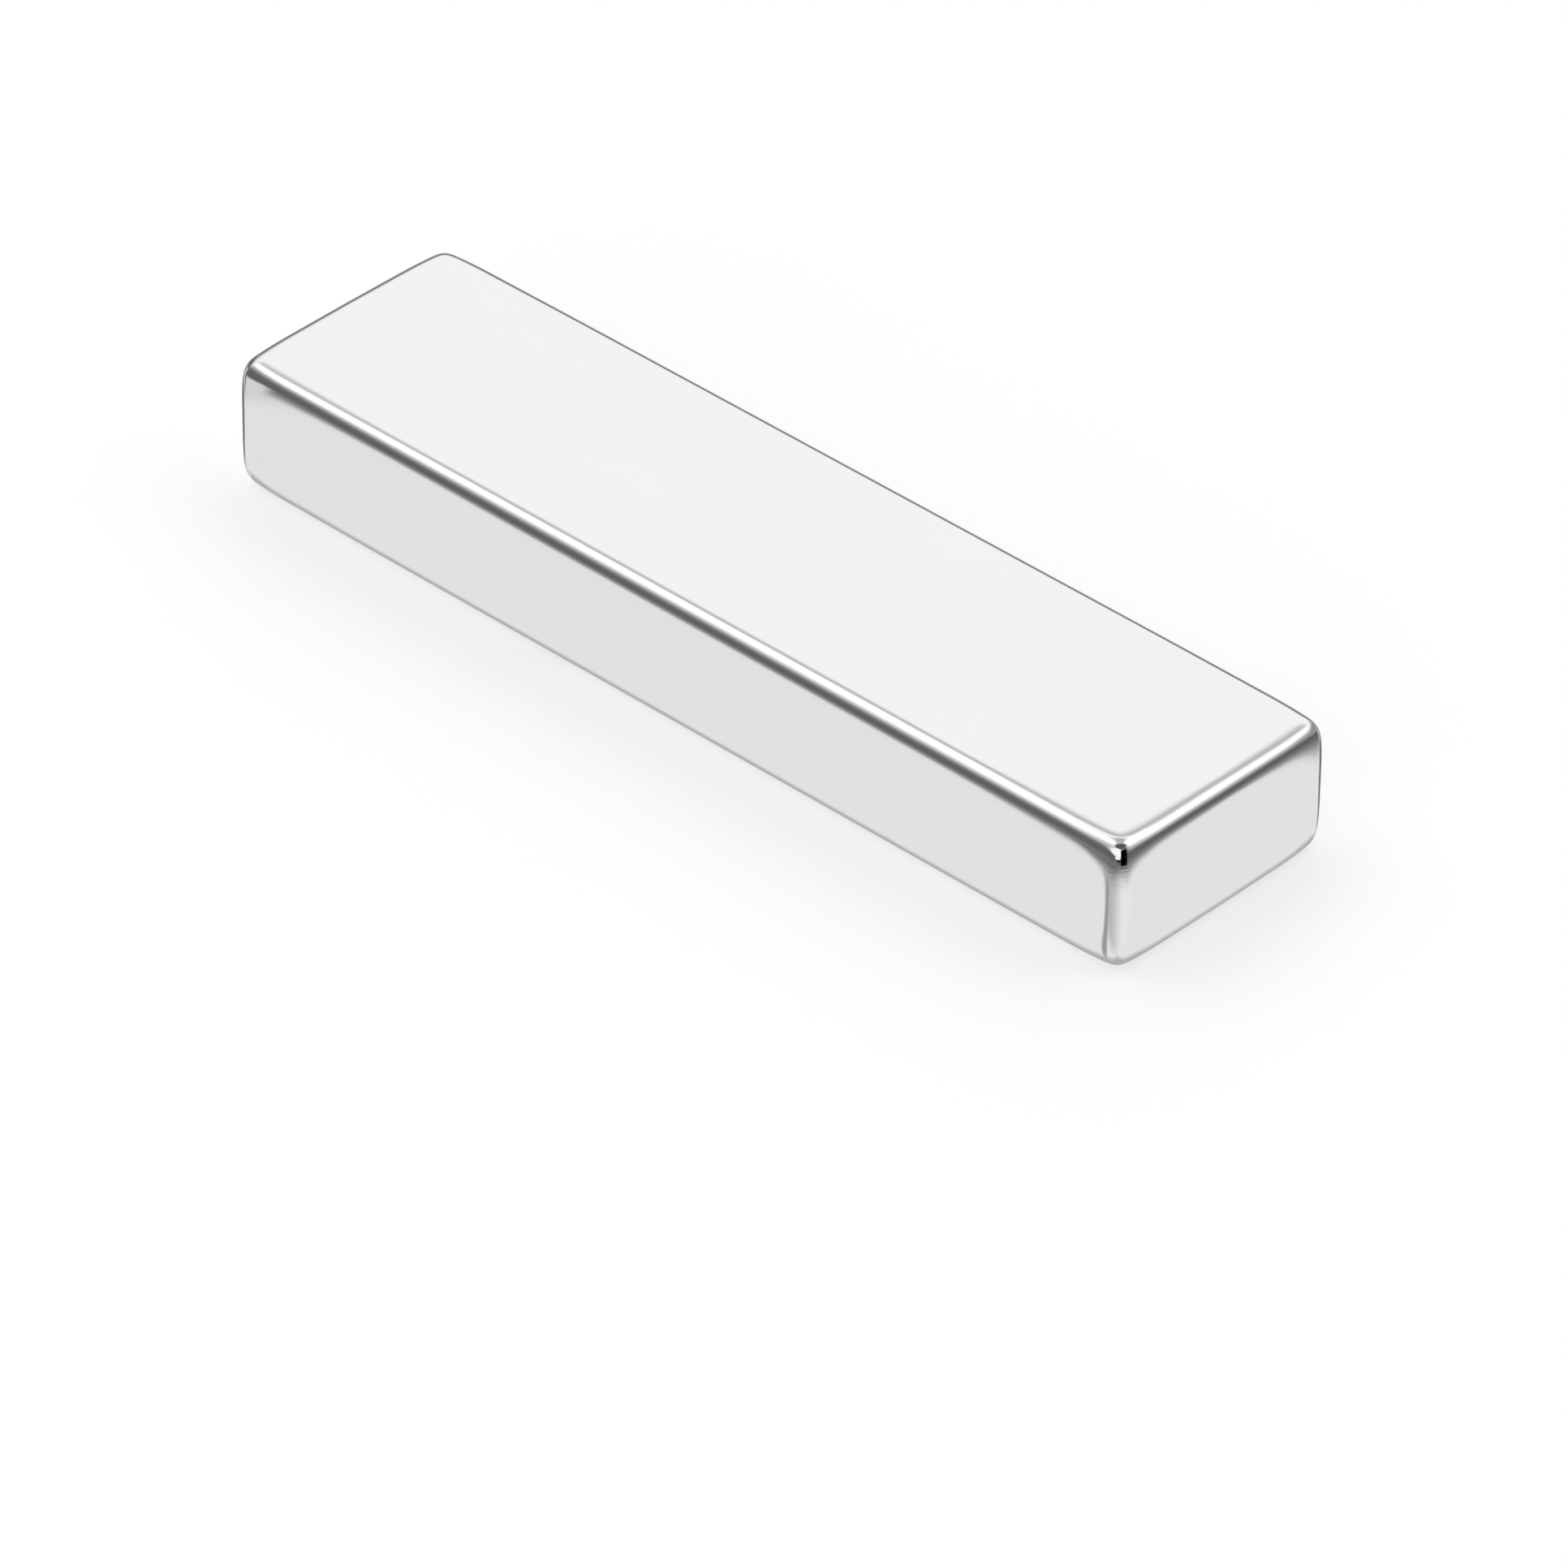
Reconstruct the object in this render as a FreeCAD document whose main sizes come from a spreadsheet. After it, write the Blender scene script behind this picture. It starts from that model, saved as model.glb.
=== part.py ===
# Block magnet: one nickel-plated bar of sintered neodymium, 40 x 10 x 5 mm.
# The bar is pressed, sliced, tumbled and plated as a single piece. Tumbling rounds its
# edges evenly along their length and wears its corners rounder than its edges.
# The frame has its origin at the centre of the underside, +X along the bar, +Z up.
import FreeCAD, Part
import os

from FreeCAD import Vector

document = FreeCAD.newDocument("BlockMagnet")

# Sizes, in millimetres
SIZES = [
    ("bar_length", 40.0, "along X, plated"),
    ("bar_width", 10.0, "along Y, plated"),
    ("bar_thickness", 5.0, "along Z, the poles are on the two large faces"),
    ("edge_radius", 0.5, "rounding of the edges round the two large faces"),
    ("upright_radius", 0.6, "rounding of the four upright edges at mid-height"),
    ("corner_radius", 0.9, "rounding where three edges meet"),
    ("corner_fade", 1.3, "length of edge over which a corner's rounding dies away"),
]

sizes = document.addObject("Spreadsheet::Sheet", "Sizes")
for row, (name, number, meaning) in enumerate(SIZES, start=1):
    sizes.set(f"A{row}", name)
    sizes.set(f"B{row}", str(number))
    sizes.set(f"C{row}", meaning)
    sizes.setAlias(f"B{row}", name)
document.recompute()


def blank_block():
    """The sliced block before tumbling, centred over the origin, with sharp edges."""
    block = document.addObject("Part::Box", "SlicedBlock")
    block.setExpression("Length", "Sizes.bar_length")
    block.setExpression("Width", "Sizes.bar_width")
    block.setExpression("Height", "Sizes.bar_thickness")
    block.setExpression("Placement.Base.x", "-Sizes.bar_length / 2")
    block.setExpression("Placement.Base.y", "-Sizes.bar_width / 2")
    document.recompute()
    return block


def fade_marks():
    """Points on the edges where the rounding starts to grow towards a corner.

    The edges round the large faces have one near each end. The upright edges are
    short, so each has a single one, at mid-height.
    """
    end = sizes.bar_length / 2
    side = sizes.bar_width / 2
    top = sizes.bar_thickness
    reach = sizes.corner_radius + sizes.corner_fade
    marks = []
    for x_sign in (-1, 1):
        for y_sign in (-1, 1):
            marks.append(Vector(x_sign * end, y_sign * side, top / 2))
            for z in (0, top):
                marks.append(Vector(x_sign * (end - reach), y_sign * side, z))
                marks.append(Vector(x_sign * end, y_sign * (side - reach), z))
    return marks


def marked_block(block):
    """The sharp block with its edges divided at the marks and its faces left whole."""
    marks = [Part.Vertex(point) for point in fade_marks()]
    divided, _ = block.Shape.generalFuse(marks)
    marked = document.addObject("Part::Feature", "MarkedBlock")
    marked.Shape = divided.Solids[0]
    return marked


def radius_along(edge, point, corners):
    """The rounding of an edge at one of its ends."""
    if any(point.isEqual(corner, Part.Precision.confusion()) for corner in corners):
        return sizes.corner_radius
    direction = edge.tangentAt(edge.FirstParameter)
    upright = abs(direction.z) > abs(direction.x) + abs(direction.y)
    return sizes.upright_radius if upright else sizes.edge_radius


def tumbled_block(block, marked):
    """Rolling-ball rounding of every edge, which swells smoothly into the corners."""
    corners = [vertex.Point for vertex in block.Shape.Vertexes]
    roundings = []
    for number, edge in enumerate(marked.Shape.Edges, start=1):
        first = edge.valueAt(edge.FirstParameter)
        last = edge.valueAt(edge.LastParameter)
        start_radius = radius_along(edge, first, corners)
        end_radius = radius_along(edge, last, corners)
        roundings.append((number, start_radius, end_radius))
    bar = document.addObject("Part::Fillet", "TumbledBlock")
    bar.Base = marked
    bar.Edges = roundings
    bar.Label = "block_magnet"
    return bar


def check(objects):
    """Stops the build where an object failed or a shape isn't a sound solid."""
    for item in objects:
        if "Invalid" in item.State or "Error" in item.State:
            raise RuntimeError(f"{item.Name} failed to build")
        if hasattr(item, "Shape") and (item.Shape.isNull() or not item.Shape.isValid()):
            raise RuntimeError(f"{item.Name} has no sound shape")


sliced = blank_block()
marked = marked_block(sliced)
magnet = tumbled_block(sliced, marked)
document.recompute()
check(document.Objects)

os.makedirs("parts", exist_ok=True)
magnet.Shape.exportStep(f"parts/{magnet.Label}.step")
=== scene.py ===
# Looks of the block magnet: the tumbled block in bright nickel plating, a pale floor, a soft
# studio and the camera. Lengths are in metres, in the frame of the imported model, apart from
# those said to be in millimetres. Azimuths turn from -Y towards +X.
import math

import bpy
import numpy as np
from mathutils import Matrix, Vector


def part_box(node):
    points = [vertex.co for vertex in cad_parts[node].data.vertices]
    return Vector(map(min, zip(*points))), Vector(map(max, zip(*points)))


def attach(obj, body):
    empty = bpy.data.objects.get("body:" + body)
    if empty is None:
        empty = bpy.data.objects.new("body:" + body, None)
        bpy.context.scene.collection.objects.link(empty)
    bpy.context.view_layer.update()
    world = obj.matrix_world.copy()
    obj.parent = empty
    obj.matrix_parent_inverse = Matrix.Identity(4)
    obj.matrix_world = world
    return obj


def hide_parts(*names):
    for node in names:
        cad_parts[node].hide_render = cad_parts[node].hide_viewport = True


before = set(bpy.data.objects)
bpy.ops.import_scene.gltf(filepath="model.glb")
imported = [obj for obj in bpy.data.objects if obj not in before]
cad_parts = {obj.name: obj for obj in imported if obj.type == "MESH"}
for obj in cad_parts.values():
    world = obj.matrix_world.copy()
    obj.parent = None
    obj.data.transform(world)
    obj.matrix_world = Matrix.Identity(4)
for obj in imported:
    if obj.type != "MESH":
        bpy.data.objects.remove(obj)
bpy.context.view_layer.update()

MM = 0.001
NODE = "block_magnet"
SLOT = "nickel_plating"

# Camera, from the outlines of the bar in the photograph, with its angles in degrees
CAMERA_AIM = Vector((5.14, -4.73, 0.0)) * MM
CAMERA_DISTANCE = 372.6 * MM
CAMERA_AZIMUTH = 42.99
CAMERA_ELEVATION = 36.11
CAMERA_ROLL = 0.67
SENSOR_WIDTH = 36.0
FOCAL_LENGTH = 263.07

# Rounding of the block, in millimetres apart from the powers
EDGE_REACH = 0.62
UPRIGHT_REACH = 0.72
UPRIGHT_START = 0.3
UPRIGHT_GROWTH = 1.2
ROUNDING_POWER = 2.5
CORNER_REACH_ACROSS = 0.8
CORNER_REACH_BELOW = 0.8
CORNER_REACH_DOWN = 1.25
CORNER_POWER = 3.2
CORNER_FADE = 1.1
CORNER_FADE_ALONG = 3.8
CORNER_FADE_DOWN = 9.0
CORE_DEPTH = 2.0
HALVINGS = 40
SMALL_MOVE = 1e-4


def direction(azimuth, elevation):
    """The direction at an azimuth and an elevation, in degrees."""
    a = math.radians(azimuth)
    e = math.radians(elevation)
    return Vector((math.cos(e) * math.sin(a), -math.cos(e) * math.cos(a), math.sin(e)))


def sine(degrees):
    return math.sin(math.radians(degrees))


def make_camera():
    toward = direction(CAMERA_AZIMUTH, CAMERA_ELEVATION)
    level_right = Vector((0, 0, 1)).cross(toward).normalized()
    level_up = toward.cross(level_right)
    roll = math.radians(CAMERA_ROLL)
    right = level_right * math.cos(roll) + level_up * math.sin(roll)
    up = toward.cross(right)
    data = bpy.data.cameras.new("camera")
    data.lens = FOCAL_LENGTH
    data.sensor_width = SENSOR_WIDTH
    data.clip_start = 10 * MM
    data.clip_end = 20.0
    camera = bpy.data.objects.new("camera", data)
    turn = Matrix((right, up, toward)).transposed().to_4x4()
    camera.matrix_world = Matrix.Translation(CAMERA_AIM + toward * CAMERA_DISTANCE) @ turn
    bpy.context.scene.collection.objects.link(camera)
    bpy.context.scene.camera = camera


# ---------------------------------------------------------------- The tumbled block, in mm

def rounding(points, half):
    """Below 1 inside the tumbled block and above 1 outside it, for points about its centre.

    Each side counts from where its rounding starts. Near a corner the rounding starts further
    back and more gently.
    """
    depth = half - np.abs(points)
    level = depth[:, 0] ** 2 + depth[:, 1] ** 2
    near = np.exp(-level / CORNER_FADE_ALONG ** 2 - (depth[:, 2] / CORNER_FADE) ** 2)
    upright = np.exp(-level / CORNER_FADE ** 2 - (depth[:, 2] / CORNER_FADE_DOWN) ** 2)
    mid_height = np.clip((depth[:, 2] - UPRIGHT_START) / UPRIGHT_GROWTH, 0, 1)
    mid_height = mid_height ** 2 * (3 - 2 * mid_height)
    across = EDGE_REACH + (UPRIGHT_REACH - EDGE_REACH) * mid_height + CORNER_REACH_ACROSS * near
    down = EDGE_REACH + CORNER_REACH_BELOW * near + CORNER_REACH_DOWN * upright
    reach = np.stack((across, across, down), axis=1)
    power = (ROUNDING_POWER + CORNER_POWER * near)[:, None]
    return (np.maximum(0, 1 - depth / reach) ** power).sum(axis=1)


def steps_in(half):
    """Places along a side from one end to the other: close together at the ends."""
    depths = list(np.arange(0, 0.88, 0.04)) + list(np.arange(0.88, 1.6, 0.08))
    depths += list(np.arange(1.6, 2.4, 0.2)) + [2.4, 2.9, 3.5, 4.2, 5.0, 6.0, 7.2, 9.0]
    depths = [d for d in depths if d < half - 0.05]
    ends = [d - half for d in depths]
    return np.array(ends + [0.0] + [-e for e in reversed(ends)])


def box_lattice(places):
    """The points and the faces of a box divided at the places along its three sides."""
    count = [len(p) for p in places]
    number = {}
    points = []

    def corner(cell):
        if cell not in number:
            number[cell] = len(points)
            points.append([places[axis][cell[axis]] for axis in range(3)])
        return number[cell]

    faces = []
    for axis in range(3):
        first, second = (axis + 1) % 3, (axis + 2) % 3
        for side in (0, count[axis] - 1):
            for i in range(count[first] - 1):
                for j in range(count[second] - 1):
                    ring = []
                    for di, dj in ((0, 0), (1, 0), (1, 1), (0, 1)):
                        cell = [0, 0, 0]
                        cell[axis] = side
                        cell[first] = i + di
                        cell[second] = j + dj
                        ring.append(corner(tuple(cell)))
                    faces.append(ring if side else ring[::-1])
    return np.array(points), faces


def onto_surface(points, half):
    """Points of the sharp box, drawn in towards the block's core as far as its surface."""
    inset = half - CORE_DEPTH
    core = np.clip(points, -inset, inset)
    ray = points - core
    inner = np.zeros(len(points))
    outer = np.ones(len(points))
    for _ in range(HALVINGS):
        middle = (inner + outer) / 2
        inside = rounding(core + ray * middle[:, None], half) < 1
        inner = np.where(inside, middle, inner)
        outer = np.where(inside, outer, middle)
    return core + ray * outer[:, None]


def surface_normals(surface, half):
    """Straight out on the flat faces, and along the slope of the rounding elsewhere."""
    slope = []
    for axis in range(3):
        move = np.zeros(3)
        move[axis] = SMALL_MOVE
        slope.append(rounding(surface + move, half) - rounding(surface - move, half))
    slope = np.stack(slope, axis=1)
    length = np.maximum(np.linalg.norm(slope, axis=1), 1e-12)[:, None]
    flat = np.abs(surface) > half - 1e-6
    return np.where(flat.any(axis=1)[:, None], np.sign(surface) * flat, slope / length)


def tumbled_block():
    low, high = (np.array(corner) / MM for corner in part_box(NODE))
    centre = (low + high) / 2
    half = (high - low) / 2
    points, faces = box_lattice([steps_in(h) for h in half])
    surface = onto_surface(points, half)
    normals = surface_normals(surface, half)

    mesh = bpy.data.meshes.new("tumbled_block")
    mesh.from_pydata(((surface + centre) * MM).tolist(), [], faces)
    mesh.shade_smooth()
    mesh.normals_split_custom_set_from_vertices(normals.tolist())
    mesh.update()
    piece = bpy.data.objects.new("tumbled_block", mesh)
    bpy.context.scene.collection.objects.link(piece)
    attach(piece, "root")
    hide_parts(NODE)
    return piece


# ---------------------------------------------------------------- Node trees

class Graph:
    """Short calls for building a node tree."""

    def __init__(self, tree):
        self.tree = tree
        tree.nodes.clear()

    def node(self, kind, **settings):
        made = self.tree.nodes.new(kind)
        for name, value in settings.items():
            setattr(made, name, value)
        return made

    def feed(self, socket, value):
        if isinstance(value, bpy.types.NodeSocket):
            self.tree.links.new(value, socket)
        else:
            socket.default_value = value

    def math(self, operation, first, second=0.0, third=0.0):
        made = self.node("ShaderNodeMath", operation=operation)
        for socket, value in zip(made.inputs, (first, second, third)):
            self.feed(socket, value)
        return made.outputs[0]

    def times(self, *values):
        result = values[0]
        for value in values[1:]:
            result = self.math("MULTIPLY", result, value)
        return result

    def less(self, value):
        return self.math("SUBTRACT", 1.0, value)

    def beyond(self, value, start):
        """How far a value is past the start, or 0."""
        return self.math("MAXIMUM", self.math("SUBTRACT", value, start), 0.0)

    def dot(self, vector, way):
        made = self.node("ShaderNodeVectorMath", operation="DOT_PRODUCT")
        self.feed(made.inputs[0], vector)
        made.inputs[1].default_value = way
        return made.outputs["Value"]

    def far(self, first, second):
        squares = self.math("MULTIPLY_ADD", first, first, self.math("MULTIPLY", second, second))
        return self.math("SQRT", squares)

    def split(self, vector):
        made = self.node("ShaderNodeSeparateXYZ")
        self.feed(made.inputs[0], vector)
        return made.outputs

    def step(self, value, low, high):
        """0 below low and 1 above high, smooth between; falls instead where low is above high."""
        made = self.node("ShaderNodeMapRange", interpolation_type="SMOOTHSTEP")
        self.feed(made.inputs["Value"], value)
        rising = low < high
        made.inputs["From Min"].default_value = min(low, high)
        made.inputs["From Max"].default_value = max(low, high)
        made.inputs["To Min"].default_value = 0.0 if rising else 1.0
        made.inputs["To Max"].default_value = 1.0 if rising else 0.0
        return made.outputs["Result"]

    def curve(self, value, points):
        """The level at a value, in straight runs through the points."""
        ramp = self.node("ShaderNodeValToRGB")
        top = points[-1][0]
        self.feed(ramp.inputs["Fac"], self.math("DIVIDE", value, top))
        elements = ramp.color_ramp.elements
        while len(elements) < len(points):
            elements.new(1.0)
        for element, (place, level) in zip(elements, points):
            element.position = place / top
            element.color = (level, level, level, 1)
        return ramp.outputs["Color"]

    def blend(self, factor, first, second):
        made = self.node("ShaderNodeMix", data_type="FLOAT")
        self.feed(made.inputs["Factor"], factor)
        self.feed(made.inputs["A"], first)
        self.feed(made.inputs["B"], second)
        return made.outputs["Result"]

    def either(self, factor, first, second):
        """The first shader where the factor is 0 and the second where it is 1."""
        made = self.node("ShaderNodeMixShader")
        self.feed(made.inputs["Fac"], factor)
        self.feed(made.inputs[1], first)
        self.feed(made.inputs[2], second)
        return made.outputs[0]

    def oval(self, way, azimuth, elevation, wide, tall, soft):
        """1 inside an oval of the surroundings and 0 outside it."""
        middle = direction(azimuth, elevation)
        sideways = direction(azimuth + 90, 0)
        upward = sideways.cross(middle)
        across = self.dot(way, sideways / sine(wide))
        along = self.dot(way, upward / sine(tall))
        inside = self.step(self.far(across, along), 1 + soft, 1 - soft)
        return self.times(inside, self.math("GREATER_THAN", self.dot(way, middle), 0.0))

    def sector(self, sideways, forward, azimuth, narrow, wide):
        """1 within narrow degrees of an azimuth and 0 beyond wide, for a way by its X and -Y."""
        a = math.radians(azimuth)
        ahead = self.math("MULTIPLY", forward, math.cos(a))
        along = self.math("MULTIPLY_ADD", sideways, math.sin(a), ahead)
        length = self.math("MAXIMUM", self.far(sideways, forward), 1e-6)
        cosine = self.math("DIVIDE", along, length)
        return self.step(cosine, math.cos(math.radians(wide)), math.cos(math.radians(narrow)))


# ---------------------------------------------------------------- Studio

# Levels of light, where 1 is white
WALL = 0.13
PALE_WALL = 0.5
FLOOR_LEVEL = 0.82
ROOF = 1.2
ROOF_CENTRE = 0.42
BACKDROP = 0.97
GAP = 0.5
WINDOW = 1.04
BELOW_BEHIND = 0.4
FAR_BELOW_BEHIND = 0.15
# How the panel overhead falls off sideways and ahead, by the distance over the height
ROOF_FALL_SIDE = [(0, 1), (0.85, 1), (1.33, 0.60), (2.2, 0.36), (4.2, 0.12), (9, 0)]
ROOF_FALL_FRONT = [
    (0, 1), (0.45, 1), (0.7, 0.65), (1.1, 0.44), (1.8, 0.25), (3.2, 0.09), (10, 0),
]
# Patches that the corners mirror: azimuth, elevation, half width, half height, softness, level
PATCHES = [
    (50, 66, 34, 22, 0.2, 0.1),
    (22, 24, 38, 24, 0.15, WINDOW),
    (222, 70, 16, 13, 0.5, 0.45),
    (262, 4, 28, 27, 0.35, 0.12),
    (165, 8, 30, 26, 0.35, 0.3),
]
# A black flag: its azimuth, and the half widths where it is full and where it ends
FLAG = (70, 20, 27)


def make_world():
    world = bpy.data.worlds.new("studio")
    bpy.context.scene.world = world
    world.use_nodes = True
    g = Graph(world.node_tree)
    way = g.node("ShaderNodeTexCoord").outputs["Generated"]
    x, y, z = g.split(way)
    forward = g.math("MULTIPLY", y, -1.0)
    left = g.math("MULTIPLY", x, -1.0)
    height = g.math("MAXIMUM", z, 0.001)

    # Dark walls on the camera's side, paler round the back
    level = g.math("MAXIMUM", g.far(x, y), 1e-6)
    facing = g.math("DIVIDE", g.dot(way, direction(CAMERA_AZIMUTH, 0)), level)
    walls = g.blend(g.step(facing, -0.12, -0.8), WALL, PALE_WALL)

    # A square panel overhead, brighter in its border than in its middle
    aside = g.math("DIVIDE", g.math("ABSOLUTE", x), height)
    ahead = g.math("DIVIDE", g.math("MAXIMUM", forward, 0.0), height)
    soft_side = g.curve(aside, ROOF_FALL_SIDE)
    hard_side = g.step(aside, 1.2, 0.6)
    front_right = g.times(g.step(y, 0.45, 0.0), g.step(left, 0.3, 0.0))
    side = g.blend(front_right, soft_side, hard_side)
    border = g.step(g.math("DIVIDE", g.far(x, y), height), 0.15, 0.5)
    roof = g.blend(border, ROOF * ROOF_CENTRE, ROOF)
    front = g.blend(g.times(side, g.curve(ahead, ROOF_FALL_FRONT)), walls, roof)

    # A pale backdrop behind the bar, with a thin gap between it and the panel
    low = g.blend(g.step(z, sine(6), sine(20)), WALL, BACKDROP)
    high = g.blend(g.step(z, sine(38.5), sine(49.5)), low, GAP)
    behind = g.blend(g.step(z, sine(50.5), sine(56.5)), high, roof)
    at_back = g.times(g.step(y, 0.0, 0.3), g.step(left, -0.2, 0.15))
    glow = g.blend(at_back, front, behind)

    for *place, patch_level in PATCHES:
        glow = g.blend(g.oval(way, *place), glow, patch_level)
    black = g.times(g.sector(x, forward, *FLAG), g.step(z, sine(46), sine(36)))
    glow = g.blend(black, glow, 0.0)

    # Below the horizon, seen only in reflections: pale, grey behind and dark low down there
    dark = g.blend(g.step(z, sine(-27), sine(-34)), BELOW_BEHIND, FAR_BELOW_BEHIND)
    under = g.blend(g.step(facing, -0.3, -0.62), FLOOR_LEVEL, dark)
    glow = g.blend(g.math("GREATER_THAN", z, 0.0), under, glow)

    seen = g.node("ShaderNodeLightPath").outputs["Is Camera Ray"]
    background = g.node("ShaderNodeBackground")
    background.inputs["Color"].default_value = (1, 1, 1, 1)
    g.feed(background.inputs["Strength"], g.blend(seen, glow, 1.0))
    out = g.node("ShaderNodeOutputWorld")
    g.feed(out.inputs["Surface"], background.outputs[0])


# ---------------------------------------------------------------- Floor

FLOOR_SIZE = 8.0
FLOOR_COLOUR = 0.8
FLOOR_LIFT = 0.525
# What the bar mirrors of the floor, by the distance from its foot in mm: a painted pool of light
# round the bar, with painted contact shade right at its foot
FLOOR_POOL = [
    (0, 0.45), (0.35, FLOOR_LEVEL), (4.4, FLOOR_LEVEL), (5.3, 0.7),
    (6, 0.5), (8, 0.26), (14, 0.15), (30, 0.12),
]
CORNER_INSET = 0.5
# Sectors about a corner, where painted shade and light fall on the floor: azimuth, and the half
# widths where each is full and where it ends
TURNED = (115, 26, 134)
OUTWARD = (45, 22, 32)
STREAK = (-27, 4, 9)
SHEEN = (24, 14, 22)
LEFT_PATCH = (312, 8, 14)
# Azimuths of the two lines that a reflection has to be behind to pass the floor
LEFT_LINE = 112
RIGHT_LINE = 160


def mirrored_floor(g, x, y, low, high):
    """How bright the floor is in the bar's reflections, at a place in mm: painted light and shade."""
    along = g.beyond(g.math("ABSOLUTE", x), high.x)
    across = g.beyond(g.math("ABSOLUTE", y), high.y)
    pool = g.curve(g.far(along, across), FLOOR_POOL)

    # Painted shade, darker on the camera's side of the near corner, most on its left
    corner_x = g.math("SUBTRACT", x, high.x - CORNER_INSET)
    corner_y = g.math("SUBTRACT", low.y + CORNER_INSET, y)
    apart = g.far(corner_x, corner_y)
    toward = g.math("MULTIPLY_ADD", corner_x, sine(43), g.math("MULTIPLY", corner_y, sine(47)))
    shade = g.times(g.step(toward, 0.6, 1.8), g.step(apart, 14, 9))
    turned = g.sector(corner_x, corner_y, *TURNED)
    pool = g.times(pool, g.blend(shade, 1.0, g.blend(turned, 0.62, 1.04)))

    # Painted shade: black below the flag and further out, and a grey streak; a painted sheen far out
    black = g.times(g.sector(corner_x, corner_y, *FLAG), g.step(apart, 8, 13))
    pool = g.times(pool, g.less(black))
    outward = g.times(g.sector(corner_x, corner_y, *OUTWARD), g.step(apart, 14, 20))
    pool = g.times(pool, g.less(outward))
    near_corner = g.times(g.step(apart, 7, 5), g.step(apart, 0.3, 1.2))
    streak = g.times(g.sector(corner_x, corner_y, *STREAK), near_corner)
    pool = g.blend(streak, pool, g.math("MINIMUM", pool, 0.34))
    sheen = g.times(g.sector(corner_x, corner_y, *SHEEN), g.step(apart, 30, 60))
    pool = g.blend(sheen, pool, 1.2)

    # Painted light, bright further out from the left corner
    left_x = g.math("SUBTRACT", x, low.x + CORNER_INSET)
    close = g.step(g.far(left_x, corner_y), 18, 12)
    patch = g.times(g.sector(left_x, corner_y, *LEFT_PATCH), close)
    return g.blend(patch, pool, g.math("MAXIMUM", pool, 0.7))


def left_of_line(g, x, y, start_x, start_y, azimuth):
    """1 on the left of a line on the floor, looking from its start along its azimuth."""
    way = direction(azimuth, 0)
    along_x = g.math("MULTIPLY", g.math("SUBTRACT", x, start_x), -way.y)
    left = g.math("MULTIPLY_ADD", g.math("SUBTRACT", y, start_y), way.x, along_x)
    return g.step(left, 0.0, 1.0)


def passed_floor(g, x, y, low, high):
    """1 behind the bar, where a reflection passes the floor, at a place in mm."""
    beside = g.math("MAXIMUM", g.math("SUBTRACT", low.x, x), 0.0)
    apart = g.step(g.far(beside, g.beyond(y, high.y)), 0.0, 0.15)
    left_line = left_of_line(g, x, y, low.x, low.y, LEFT_LINE)
    past_left = g.math("MAXIMUM", left_line, g.step(x, low.x, low.x + 2))
    past_right = left_of_line(g, x, y, high.x, high.y, RIGHT_LINE)
    return g.times(apart, past_left, past_right)


def make_floor():
    bpy.ops.mesh.primitive_grid_add(x_subdivisions=1, y_subdivisions=1, size=FLOOR_SIZE)
    floor = bpy.context.object
    floor.name = "floor"
    material = bpy.data.materials.new("floor")
    material.use_nodes = True
    g = Graph(material.node_tree)
    place = g.split(g.node("ShaderNodeNewGeometry").outputs["Position"])
    x = g.math("DIVIDE", place["X"], MM)
    y = g.math("DIVIDE", place["Y"], MM)
    low, high = (Vector(corner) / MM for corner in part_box(NODE))

    # A matt floor, lifted to white for the camera alone
    light = g.node("ShaderNodeLightPath")
    diffuse = g.node("ShaderNodeBsdfDiffuse")
    diffuse.inputs["Color"].default_value = (FLOOR_COLOUR, FLOOR_COLOUR, FLOOR_COLOUR, 1)
    lift = g.node("ShaderNodeEmission")
    lift.inputs["Strength"].default_value = FLOOR_LIFT
    lifted = g.node("ShaderNodeAddShader")
    g.feed(lifted.inputs[0], diffuse.outputs[0])
    g.feed(lifted.inputs[1], lift.outputs[0])
    open_floor = g.either(light.outputs["Is Camera Ray"], diffuse.outputs[0], lifted.outputs[0])

    # For reflections alone the floor glows with painted light and shade, and lets them pass behind
    # the bar
    pool = g.node("ShaderNodeEmission")
    g.feed(pool.inputs["Strength"], mirrored_floor(g, x, y, low, high))
    clear = g.node("ShaderNodeBsdfTransparent")
    mirrored = g.either(passed_floor(g, x, y, low, high), pool.outputs[0], clear.outputs[0])
    out = g.node("ShaderNodeOutputMaterial")
    g.feed(out.inputs["Surface"], g.either(light.outputs["Is Glossy Ray"], open_floor, mirrored))
    floor.data.materials.append(material)


# ---------------------------------------------------------------- Nickel plating

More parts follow.
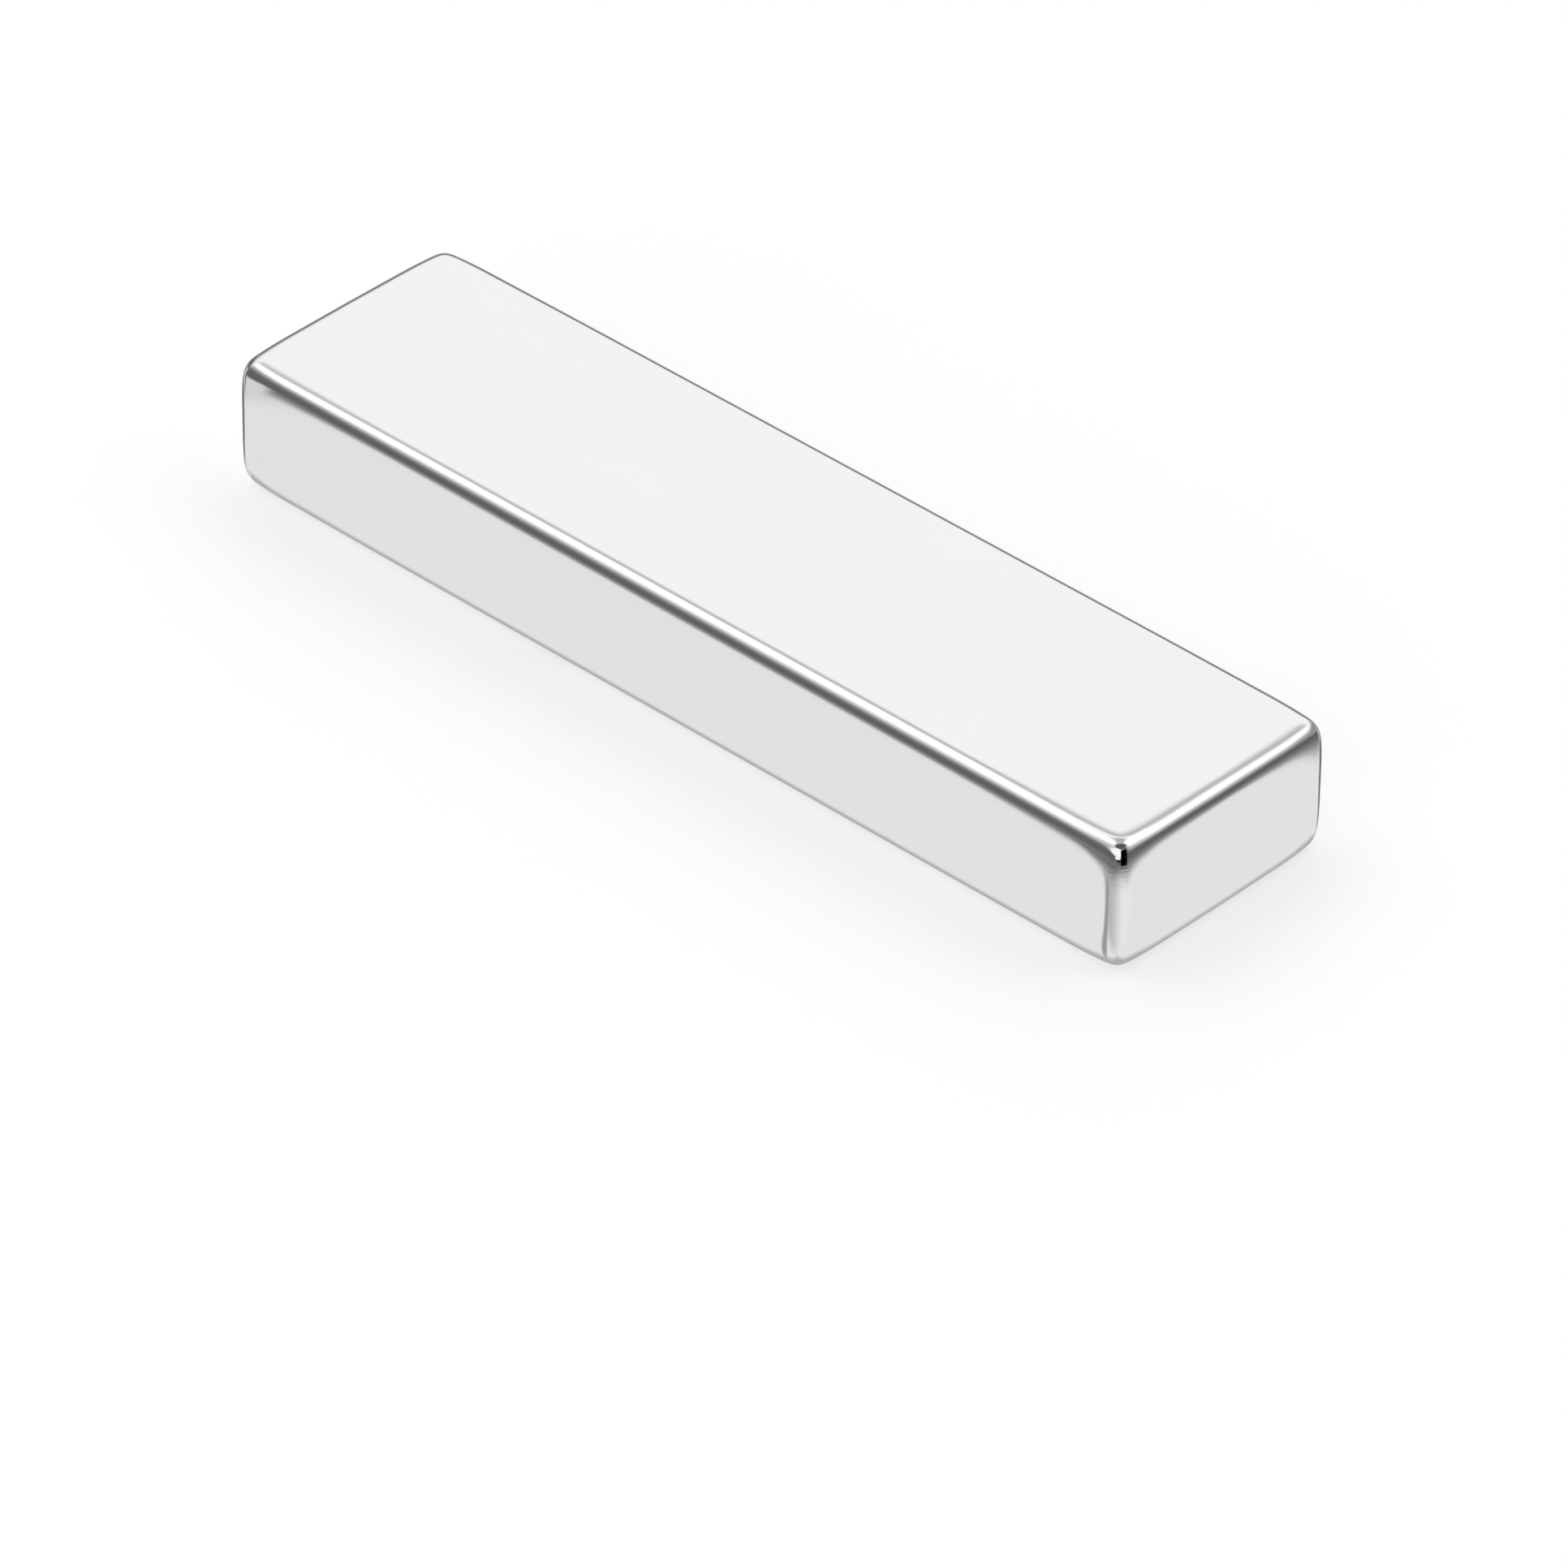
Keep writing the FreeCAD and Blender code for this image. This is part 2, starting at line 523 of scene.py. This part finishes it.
RIPPLE_SCALE = (2500, 8000, 8000)
RIPPLE_DEPTH = 0.0006 * MM
CLOUD_SCALE = (150, 300, 300)
MARK_SCALE = (1500, 1500, 9000)
MARK_HEIGHT = 6.0
MARK_FADE = (0.75 * MM, 0.35 * MM)
DARKER_GREY = (0.905, 0.905, 0.905, 1)
LIGHTER_GREY = (0.935, 0.935, 0.935, 1)
ROUGHNESS = (0.06, 0.12)


def nickel_plating():
    """Bright nickel with the faint ripple that tumbled, plated blocks have."""
    material = bpy.data.materials.new(SLOT)
    material.use_nodes = True
    g = Graph(material.node_tree)
    place = g.node("ShaderNodeTexCoord").outputs["Object"]

    def noise(scale, detail):
        stretch = g.node("ShaderNodeMapping")
        g.feed(stretch.inputs["Vector"], place)
        stretch.inputs["Scale"].default_value = scale
        made = g.node("ShaderNodeTexNoise")
        g.feed(made.inputs["Vector"], stretch.outputs[0])
        made.inputs["Scale"].default_value = 1.0
        made.inputs["Detail"].default_value = detail
        return made.outputs["Fac"]

    def near_side(coordinate, side):
        fade_start, fade_end = MARK_FADE
        return g.step(g.math("ABSOLUTE", coordinate), side - fade_start, side - fade_end)

    ripple = noise(RIPPLE_SCALE, 2.0)
    cloud = noise(CLOUD_SCALE, 3.0)

    # Fine level marks on the upright edges
    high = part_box(NODE)[1]
    x, y, _ = g.split(place)
    marks = g.times(noise(MARK_SCALE, 1.0), near_side(x, high[0]), near_side(y, high[1]), MARK_HEIGHT)

    shader = g.node("ShaderNodeBsdfPrincipled")
    tint = g.node("ShaderNodeMix", data_type="RGBA")
    g.feed(tint.inputs["Factor"], cloud)
    tint.inputs["A"].default_value = DARKER_GREY
    tint.inputs["B"].default_value = LIGHTER_GREY
    g.feed(shader.inputs["Base Color"], tint.outputs["Result"])
    shader.inputs["Metallic"].default_value = 1.0
    g.feed(shader.inputs["Roughness"], g.blend(ripple, *ROUGHNESS))
    bump = g.node("ShaderNodeBump")
    bump.inputs["Strength"].default_value = 1.0
    bump.inputs["Distance"].default_value = RIPPLE_DEPTH
    g.feed(bump.inputs["Height"], g.math("ADD", ripple, marks))
    g.feed(shader.inputs["Normal"], bump.outputs[0])
    out = g.node("ShaderNodeOutputMaterial")
    g.feed(out.inputs["Surface"], shader.outputs[0])
    return material


bpy.context.scene.view_settings.view_transform = "Standard"
make_camera()
make_world()
make_floor()
magnet = tumbled_block()
magnet.data.materials.append(nickel_plating())
